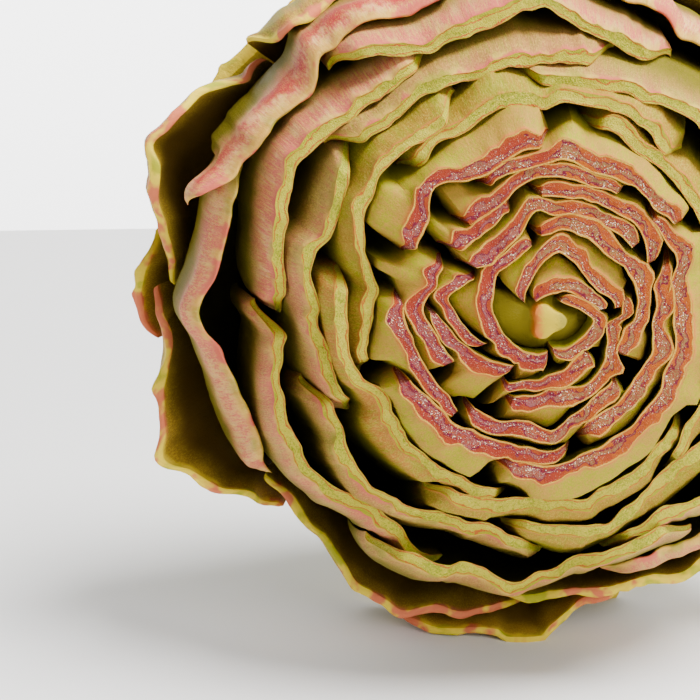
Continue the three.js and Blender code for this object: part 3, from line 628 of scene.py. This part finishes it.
outerLook = {
    "face": (0.42, 0.27, 0.02), "back": (0.2, 0.19, 0.006), "faceShadeAndMarks": (0.1, 0.055, 0.005),
    "bloom": (0.5, 0.3, 0.05), "blush": (0.6, 0.14, 0.07),
    "rimLine": (0.7, 0.5, 0.03), "rimTip": (0.75, 0.56, 0.03),
    "skin": (0.6, 0.45, 0.1), "stripe": (0.5, 0.4, 0.06), "line": (0.5, 0.3, 0.06),
    "core": (0.28, 0.32, 0.006), "flesh": (0.5, 0.48, 0.1), "speck": (0.7, 0.65, 0.36),
    "backShadeCut": 0.85, "tipped": 0.95, "shadeFrom": 0, "shadeTo": 10,
    "wobble": 0.2, "specks": 0, "coreAt": 0.5, "lineAt": 0.3, "skinAt": 0.44,
}

# Noises of a bract: repeats per millimetre round the head, up it and through a blade, detail, roughness
bractNoises = {
    "patches": ((0.17, 0.1, 0.17), 3, 0.55), "drifts": ((0.42, 0.2, 0.6), 2, 0.55),
    "fibres": ((2.6, 0.09, 1.3), 3, 0.6), "stipple": ((3.2, 2.8, 3.2), 2, 0.7),
    "striae": ((4.5, 0.16, 4), 2, 0.6), "speckle": ((7, 1.6, 4), 2, 0.75), "grit": ((5, 5, 5), 1, 0.5),
}

# How strongly a bract's marks show, how many millimetres below its rim they reach, and how noise moves them
marks = {
    "patches": 0.45, "stipple": 0.22, "striae": 0.55, "speckle": 0.4, "ripeShift": 1.6,
    "bloomReach": (6, 17), "bloomShift": 8, "leastBloom": 0.4, "moreBloom": 0.5, "innerBloom": 0.15,
    "streaks": 1.4, "mostStreaks": 0.9, "innerStreaks": 0.1,
    "band": 0.9, "bandAt": 4.2, "bandReach": (1, 3), "bandShift": 5, "bandTint": (0.4, 0.018, 0.03),
    # The painted shade below a rim starts deeper by the start given here, and noise shifts it by the shift
    # given
    "shadeShift": 4, "shadeStart": 2, "rimLine": 0.85, "rimLineReach": (0.4, 1.1), "rimLineShift": 0.6,
    "tipReach": (1.6, 3.6), "tipShift": 3, "tipGreen": 0.8,
    "cutShift": 0.5, "cutFibres": 0.25, "cutUneven": 0.6, "cutRagged": 0.14,
    "edgeRagged": 0.1, "edgeShift": 0.08, "lineWidth": 0.05, "stripeFrom": 0.03, "stripeTo": 0.08,
    "stripeEmber": 0.35, "stripeCore": 0.6, "skin": 0.75, "skinBlur": 0.03, "outerSpecks": 0.8,
    "rough": 0.55, "roughStipple": 0.25, "cutShine": 0.12, "bump": 0.6,
}

# Where each mark starts to show in its noise, and where it is full
ranges = {
    "outward": (0.4, 0.6), "ripe": (0.3, 0.75), "patches": (0.42, 0.72), "stipple": (0.45, 0.75),
    "streaks": (0.62, 0.86), "striae": (0.5, 0.6), "redBlush": (1.1, 1.5), "band": (0.45, 0.85),
    "darkSpecks": (0.5, 0.7), "paintedGlints": (0.36, 0.48), "rimLine": (0.5, 0.8), "someBlush": (0.05, 0.25),
    "tipPink": (0.5, 0.58), "tipGreen": (0.36, 0.46), "core": (0.46, 0.6), "gritty": (0.42, 0.7),
    "stripeCore": (0.55, 0.8), "grit": (0.62, 0.69), "gritDrifts": (0.35, 0.6), "awayFromCore": (0.1, 0.3),
}


def bractMaterial(name, look):
    recipe = Recipe(name)
    mix, step = recipe.mix, recipe.step
    look = {"ember": look["stripe"], "pale": look["flesh"], **look}
    tints = solidTints(look)
    grain = recipe.attribute("grain", "Vector")
    toRim, depth, cut, blush = [recipe.attribute(key) for key in ("toRim", "depth", "cut", "blush")]
    patches, drifts, fibres, stipple, striae, speckle, grit = [
        recipe.noise(grain, *settings) for settings in bractNoises.values()]
    outward, some = step(depth, *ranges["outward"]), blush.least(1)
    ripe = step(recipe.attribute("ripe") + (patches - 0.5) * marks["ripeShift"], *ranges["ripe"])

    # Skin of both faces: yellow-green, with a bloom and a striped blush towards the rim
    skin = mix(outward, tints["face"], tints["back"])
    skin = mix(step(patches, *ranges["patches"]) * marks["patches"], skin, tints["faceShadeAndMarks"])
    skin = mix(step(stipple, *ranges["stipple"]) * marks["stipple"], skin, tints["bloom"])
    nearRim = 1 - step(toRim + drifts * marks["bloomShift"], *marks["bloomReach"])
    bloom = nearRim * some * (marks["leastBloom"] + some * marks["moreBloom"])
    skin = mix(bloom * (outward * (1 - marks["innerBloom"]) + marks["innerBloom"]), skin, tints["bloom"])
    streaks = step(fibres * 0.55 + patches * 0.5 + drifts * 0.35 + stipple * 0.12, *ranges["streaks"])
    streaks = nearRim * streaks * some * (outward * (1 - marks["innerStreaks"]) + marks["innerStreaks"])
    skin = mix((streaks * marks["streaks"]).least(marks["mostStreaks"]), skin, tints["blush"])
    striped = step(striae, *ranges["striae"]) * nearRim * some * outward
    skin = mix(striped * marks["striae"], skin, tints["rimTip"])

    # A crimson band below the rim of the reddest bracts
    band = 1 - step(abs(toRim + (drifts - 0.5) * marks["bandShift"] - marks["bandAt"]), *marks["bandReach"])
    band = band * step(blush, *ranges["redBlush"]) * outward * step(patches + drifts * 0.5, *ranges["band"])
    skin = mix(band * marks["band"], skin, marks["bandTint"] + (1,))

    # Painted shade darkening the faces further below the rim, less on the outer face, then fine specks, a
    # dark line along the rim and the tints of an uncut tip
    shadeFrom, shadeTo = look["shadeFrom"] + marks["shadeStart"], look["shadeTo"] + marks["shadeStart"]
    paintedShade = step(toRim + patches * marks["shadeShift"], shadeFrom, shadeTo)
    skin = mix(paintedShade * (1 - outward * look["backShadeCut"]), skin, tints["faceShadeAndMarks"])
    skin = mix(step(speckle, *ranges["darkSpecks"]) * marks["speckle"], skin, tints["faceShadeAndMarks"])
    # Painted glints: pale specks, kept off the painted shade
    paintedGlints = (1 - step(speckle, *ranges["paintedGlints"])) * (1 - paintedShade)
    skin = mix(paintedGlints * marks["speckle"], skin, tints["rimTip"])
    line = 1 - step(toRim + stipple * marks["rimLineShift"], *marks["rimLineReach"])
    line = line * step(patches + fibres * 0.5, *ranges["rimLine"])
    skin = mix(line * marks["rimLine"], skin, tints["rimLine"])
    tip = (1 - step(toRim + drifts * marks["tipShift"], *marks["tipReach"])) * (1 - cut)
    tipTint = mix(step(patches, *ranges["tipPink"]), tints["rimTip"], tints["blush"])
    tipTint = mix((1 - step(patches, *ranges["tipGreen"])) * marks["tipGreen"], tipTint, tints["core"])
    skin = mix(tip * step(some, *ranges["someBlush"]) * look["tipped"], skin, tipTint)

    # The cut: gritty flesh in the middle, then a dark line, a stripe and a thin pale skin on either side
    wobble = (patches - 0.5) * look["wobble"]
    shift = wobble + (drifts - 0.5) * look["wobble"] + (fibres - 0.5) * marks["cutFibres"]
    wide = wobble * marks["cutUneven"] + (stipple - 0.5) * marks["cutRagged"]
    fromMiddle = abs(depth - look["coreAt"] + shift * marks["cutShift"]) + wide
    ragged = (stipple - 0.5) * marks["edgeRagged"] + (drifts - 0.5) * marks["edgeShift"]
    fromEdge = abs(depth - 0.5) + ragged
    core = mix(step(patches * 0.5 + drifts * 0.5, *ranges["core"]), tints["core"], tints["stripe"])
    gritty = mix(ripe, tints["pale"], tints["flesh"])
    flesh = mix(step(stipple + patches * 0.4 - drifts * 0.2, *ranges["gritty"]), core, gritty)
    lineAt, skinAt = look["lineAt"], look["skinAt"]
    flesh = mix(step(fromMiddle, lineAt - marks["lineWidth"], lineAt), flesh, tints["line"])
    stripe = mix(ripe * (marks["stripeEmber"] + drifts), tints["stripe"], tints["ember"])
    mottled = step(drifts + stipple * 0.3, *ranges["stripeCore"]) * marks["stripeCore"]
    stripe = mix(mottled, stripe, tints["core"])
    flesh = mix(step(fromMiddle, lineAt + marks["stripeFrom"], lineAt + marks["stripeTo"]), flesh, stripe)
    pale = step(fromEdge, skinAt - marks["skinBlur"], skinAt + marks["skinBlur"]) * marks["skin"]
    flesh = mix(pale, flesh, tints["skin"])
    specks = step(grit, *ranges["grit"]) * look["specks"] * step(drifts, *ranges["gritDrifts"])
    specks = specks * (1 - step(fromMiddle, *ranges["awayFromCore"]) * marks["outerSpecks"])
    flesh = mix(specks, flesh, tints["speck"])

    rough = marks["rough"] + stipple * marks["roughStipple"] - cut * marks["cutShine"]
    bump = fibres * 0.4 + stipple * 0.3 + speckle * 0.25 + grit * cut * 1.1
    return recipe.finish(mix(cut, skin, flesh), rough, bump, marks["bump"], dullSkin)


materials = {
    "leaflet": bractMaterial("disc_bract", discLook),
    "green": bractMaterial("green_bract", greenLook),
    "middle": bractMaterial("middle_bract", middleLook),
    "outer": bractMaterial("outer_bract", outerLook),
}
materials["inner"] = materials["leaflet"]
materials["basal"] = materials["outer"]

heartShape = {
    "sides": 72, "rows": 40, "innermost": 0.02,  # rows up its side, and the layer share it ends at
    "cutOutline": [(0.3, 0), (4, 0.05), (8, 0)], "cutRise": 0.1,  # radius and height on the stem's cut
    "cutBelow": 0.5, "grainRadius": 14, "skinRadius": 13,
}
heartLook = {
    "side": (0.2, 0.2, 0.008), "rib": (0.27, 0.26, 0.02), "cut": (0.55, 0.5, 0.16),
    "skin": (0.2, 0.22, 0.01), "bruise": (0.4, 0.26, 0.06), "bruised": 0.7, "rough": 0.55, "bump": 0.5,
    "ribNoise": [(1.1, 0.12, 0.12), 3, 0.6], "mottleNoise": [(0.3, 0.3, 0.3)], "fineNoise": [(2, 2, 2), 2],
    "ribAt": [0.42, 0.62], "bruiseAt": [0.5, 0.75], "skinAt": [0.9, 1], "skinShift": 0.1,
    "roughMottle": 0.2,
}


def heartTint():
    recipe, look = Recipe("heart"), heartLook
    mix, step, tints = recipe.mix, recipe.step, solidTints(look)
    grain = recipe.attribute("grain", "Vector")
    ribs = recipe.noise(grain, *look["ribNoise"])
    mottle = recipe.noise(grain, *look["mottleNoise"])
    side = mix(step(ribs, *look["ribAt"]), tints["side"], tints["rib"])
    face = mix(step(mottle, *look["bruiseAt"]) * look["bruised"], tints["cut"], tints["bruise"])
    outward = recipe.attribute("outward") + mottle * look["skinShift"]
    face = mix(step(outward, *look["skinAt"]), face, tints["skin"])
    colour = mix(recipe.attribute("cut"), side, face)
    bump = (ribs + recipe.noise(grain, *look["fineNoise"])) * 0.5
    return recipe.finish(colour, look["rough"] + mottle * look["roughMottle"], bump, look["bump"], dullSkin)


def heartPiece():
    stem, chamfer = head["stemRadius"], head["stemChamfer"]
    outline = heartShape["cutOutline"] + [(stem - chamfer, heartShape["cutRise"]), (stem, chamfer)]
    for share in np.linspace(1, heartShape["innermost"], heartShape["rows"]):
        layer = head["heartRim"] * share
        outline.append((layer * float(headRadius(heartHeight(layer))), heartHeight(layer)))
    sides = heartShape["sides"]
    angle = np.linspace(0, fullTurn, sides, endpoint=False)[:, None]
    radius, height = [np.array(values) * np.ones((sides, 1)) for values in zip(*outline)]
    attributes = {
        "outward": radius / heartShape["skinRadius"],
        "cut": np.where(height < heartShape["cutBelow"], 1.0, 0.0),
    }
    piece = turnedPiece("heart_flesh", angle, radius, height, heartShape["grainRadius"], attributes)
    piece.data.materials.append(heartTint())
    return piece


heart = heartPiece()
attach(heart, "root")
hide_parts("heart")

pieces = []
for index, entry in enumerate(layout):
    piece = bladePiece(index)
    piece.data.materials.append(materials[entry["kind"]])
    pieces.append(piece)

budShape = {
    "sides": 72, "rows": 30, "rowCrowding": 0.6, "grainRadius": 8,
    "fill": 0.45, "roomReach": 6,  # the most layer that it fills, and degrees the room is evened over
    "fold": 0.2, "folds": 3, "shoulder": 74, "shoulderReach": 4, "footReach": 8, "footShare": 0.3,
    "topRounding": 0.12, "topReach": 2, "cap": [(0.7, 0.25), (0.3, 0.4)],  # radius share, rise
    "paleReach": 3,
}
budLook = {
    "side": (0.55, 0.15, 0.02), "cream": (0.5, 0.36, 0.01), "shaded": (0.3, 0.24, 0.02),
    "sideAt": [-1.8, -0.4], "shadedAt": [0.8, 2.2], "wobble": 2, "wobbleNoise": [(0.8, 0.8, 0.8)],
    "gritNoise": [(3, 3, 3), 2, 0.7], "rough": 0.5, "roughGrit": 0.2, "bump": 0.4,
}


def budTint():
    recipe, look = Recipe("bud"), budLook
    mix, step, tints = recipe.mix, recipe.step, solidTints(look)
    grain = recipe.attribute("grain", "Vector")
    wobble = (recipe.noise(grain, *look["wobbleNoise"]) - 0.5) * look["wobble"]
    aside = recipe.attribute("aside") + wobble
    colour = mix(step(aside, *look["sideAt"]), tints["side"], tints["cream"])
    # Painted shade: olive on the tip's right side, and on its sides below the top
    colour = mix(step(aside, *look["shadedAt"]), colour, tints["shaded"])
    colour = mix(recipe.attribute("cut"), tints["shaded"], colour)
    grit = recipe.noise(grain, *look["gritNoise"])
    return recipe.finish(colour, look["rough"] + grit * look["roughGrit"], grit, look["bump"], dullSkin)


def firstRoom():  # radius round the bud, in layers, up to the blades that stand next to it
    room = lowestLayer(np.arange(fullTurn), layout, np.full(fullTurn, budShape["fill"]), 0)
    return np.mean(shifted(room, budShape["roomReach"]), axis=0)


def budCore():  # a folded tip that widens below to fill the room among the first leaflets
    sides, top = budShape["sides"], head["budTop"]
    angle = np.linspace(0, fullTurn, sides, endpoint=False)[:, None]
    foot = heartHeight(head["budLayer"]) + head["rootClearance"]
    share = np.linspace(0, 1, budShape["rows"])[None, :] ** budShape["rowCrowding"]
    height = foot + (top - foot) * share
    wide = around(firstRoom(), angle) - fine["spare"]
    slim = head["budLayer"] * (1 + budShape["fold"] * np.cos(np.radians(budShape["folds"] * angle)))
    upper = smoothStep((height - budShape["shoulder"]) / budShape["shoulderReach"])
    footing = smoothStep((height - foot) / budShape["footReach"] + budShape["footShare"])
    radius = (wide + (slim - wide) * upper) * headRadius(height) * footing
    nearTop = smoothStep((height - top + budShape["topReach"]) / budShape["topReach"])
    rings = [radius * (1 - budShape["topRounding"] * nearTop)]
    heights = [height * np.ones((sides, 1))]
    for shrink, rise in budShape["cap"]:
        rings.append(radius[:, -1:] * shrink)
        heights.append(np.full((sides, 1), top + rise))
    radius, height = np.concatenate(rings, axis=1), np.concatenate(heights, axis=1)
    attributes = {
        "aside": radius * np.cos(np.radians(angle)),
        "cut": smoothStep((height - top + budShape["paleReach"]) / budShape["topReach"]),
    }
    piece = turnedPiece("bud_core", angle, radius, height, budShape["grainRadius"], attributes)
    piece.data.materials.append(budTint())
    return piece


core = budCore()
budPieces = [core] + pieces[:len(budLeaflets)]
for piece in budPieces:
    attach(piece, "root")
    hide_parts("bud")
for piece, entry in zip(pieces[len(budLeaflets):], layout[len(budLeaflets):]):
    node = entry["name"]
    piece.name = node + "_blade"
    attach(piece, "root")
    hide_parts(node)
print("built", len(pieces), "blades with", sum(len(piece.data.polygons) for piece in pieces), "faces")

# The surface ends at the horizon, and the backdrop beyond it glows as painted light, greyer towards its
# foot. Lengths are in metres
stage = {
    "floor": (0.81, 0.81, 0.81), "wall": (0.85, 0.85, 0.85), "mottle": (0.7, 0.7, 0.7, 1),
    "mottled": 0.04, "mottleScale": 40, "rough": 0.7, "roughMottle": 0.05, "bump": 0.02, "shine": 0.2,
    "width": 3.4, "front": -1.8, "back": 0.285, "wallAt": 0.95, "wallLow": -1.2, "wallHigh": 0.5,
    "wallLight": 4.2, "fade": (-0.2, -0.02), "fadeFrom": (0.78, 0.78, 0.78, 1),
}


def plainSheet(name, corners, shade, glow):
    mesh = bpy.data.meshes.new(name)
    mesh.from_pydata(corners, [], [(0, 1, 2, 3)])
    sheet = placed(name, mesh)
    recipe = Recipe(name)
    place = recipe.node("ShaderNodeTexCoord", output=3)
    speckle = recipe.noise(place, (stage["mottleScale"],) * 3)
    colour = recipe.mix(speckle * stage["mottled"], shade + (1,), stage["mottle"])
    sockets = {"Specular IOR Level": stage["shine"]}
    if glow:
        # Painted light: the backdrop glows, greyer below the fade heights
        high = recipe.node("ShaderNodeSeparateXYZ", inputs={0: place}, output=2)
        fading = recipe.mix(recipe.step(high, *stage["fade"]), stage["fadeFrom"], (1, 1, 1, 1))
        sockets.update({"Emission Color": fading, "Emission Strength": glow})
    rough = stage["rough"] + speckle * stage["roughMottle"]
    mesh.materials.append(recipe.finish(colour, rough, speckle, stage["bump"], sockets))


half, front, back = stage["width"] / 2, stage["front"], stage["back"]
wallAt, low, high = stage["wallAt"], stage["wallLow"], stage["wallHigh"]
floorCorners = [(-half, front, 0), (half, front, 0), (half, back, 0), (-half, back, 0)]
wallCorners = [(-half, wallAt, low), (half, wallAt, low), (half, wallAt, high), (-half, wallAt, high)]
plainSheet("surface", floorCorners, stage["floor"], 0)
plainSheet("backdrop", wallCorners, stage["wall"], stage["wallLight"])

lights = {  # places and sizes in metres, power in watts
    "key": {"place": (0.36, -0.14, 0.9), "size": 0.62, "power": 30, "colour": (1, 0.985, 0.965)},
    "fill": {"place": (0.42, -0.82, 0.42), "size": 0.5, "power": 7, "colour": (1, 0.99, 0.98)},
}
lightTarget = (0, 0, 0.05)
worldLight = 0.43


def softLight(name, setting):
    light = bpy.data.lights.new(name, "AREA")
    light.shape, light.size = "DISK", setting["size"]
    light.energy, light.color = setting["power"], setting["colour"]
    lamp = placed(name, light)
    lamp.location = setting["place"]
    aim = np.array(lightTarget) - np.array(setting["place"])
    away = math.atan2(math.hypot(aim[0], aim[1]), -aim[2])
    lamp.rotation_euler = (away, 0, math.atan2(aim[1], aim[0]) - math.pi / 2)


for name, setting in lights.items():
    softLight(name, setting)
world = bpy.data.worlds.new("studio")
world.use_nodes = True
glow = world.node_tree.nodes["Background"].inputs
glow["Color"].default_value, glow["Strength"].default_value = (1, 1, 1, 1), worldLight
bpy.context.scene.world = world

photo = {
    "frame": 700, "pixelsPerRadian": 3300, "distance": 500,  # pixels, pixels, millimetres
    "leftOfAxis": 7, "aboveLevel": 15,  # degrees, of the sight line to the bud
    "budPixelX": 548, "budPixelY": 320,
    "sensor": 36, "nearest": 0.01, "farthest": 20,  # millimetres, metres, metres
}


def placeCamera():
    data = bpy.data.cameras.new("camera")
    data.sensor_width, data.sensor_fit = photo["sensor"], "HORIZONTAL"
    data.lens = photo["pixelsPerRadian"] * data.sensor_width / photo["frame"]
    data.clip_start, data.clip_end = photo["nearest"], photo["farthest"]
    camera = placed("camera", data)
    bpy.context.scene.camera = camera
    bud = lying(0, 0, float(head["cutHeight"]), 0)
    left, above = math.radians(photo["leftOfAxis"]), math.radians(photo["aboveLevel"])
    level = math.cos(above)
    toward = np.array([-math.sin(left) * level, -math.cos(left) * level, math.sin(above)])
    camera.location = bud + toward * photo["distance"] * mm
    aside = (photo["budPixelX"] - photo["frame"] / 2) / photo["pixelsPerRadian"]
    over = (photo["frame"] / 2 - photo["budPixelY"]) / photo["pixelsPerRadian"]
    pitch = above + math.atan(over)  # the camera's own line looks down by this much
    turn = left - math.atan(aside / level)
    camera.rotation_euler = (math.pi / 2 - pitch, 0, -turn)


placeCamera()
print("scene ready")
